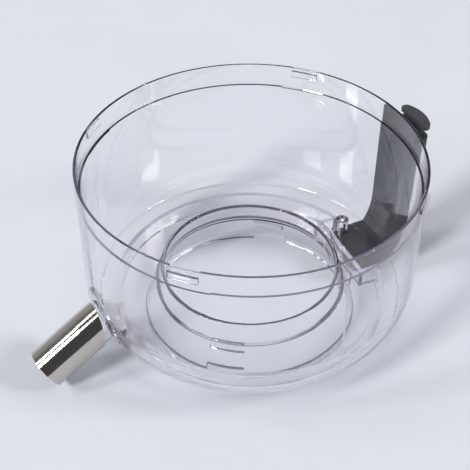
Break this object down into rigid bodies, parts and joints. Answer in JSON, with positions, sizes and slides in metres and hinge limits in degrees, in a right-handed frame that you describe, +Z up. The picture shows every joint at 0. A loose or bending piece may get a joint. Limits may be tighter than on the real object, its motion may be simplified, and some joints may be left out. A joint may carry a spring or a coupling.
{
  "type": "juicer bowl",
  "caption": "Clear round juicer bowl with a central hub, a sloping steel spout sleeve and a grey lid interlock housing on its side.",
  "frame": {"origin": "on the bowl's axis, in the plane of the foot it rests on", "axes": "+Z up along the bowl's axis, -Y towards the spout, +Y nearly towards the interlock housing"},
  "size_m": [0.2016, 0.2606, 0.1165],
  "materials": {
    "clear_plastic": "clear, polished",
    "sleeve_steel": "brushed along the tube",
    "housing_plastic": "satin moulded",
    "plunger_plastic": "satin moulded",
    "spring_steel": "drawn wire",
    "screw_steel": "bright, passivated"
  },
  "bodies": {
    "bowl_body": {"bowl": "clear_plastic", "spout_tube": "sleeve_steel", "interlock_housing": "housing_plastic", "housing_screw": "screw_steel", "plunger_spring": "spring_steel"},
    "plunger_body": {"interlock_plunger": "plunger_plastic"}
  },
  "joints": [
    {"name": "plunger_press", "type": "slide", "parent": "bowl_body", "child": "plunger_body", "axis": [0, 0, -1], "range_m": [0, 0.006], "stiffness_N_per_m": 150, "springref_m": -0.01, "deforming": ["plunger_spring"]}
  ]
}
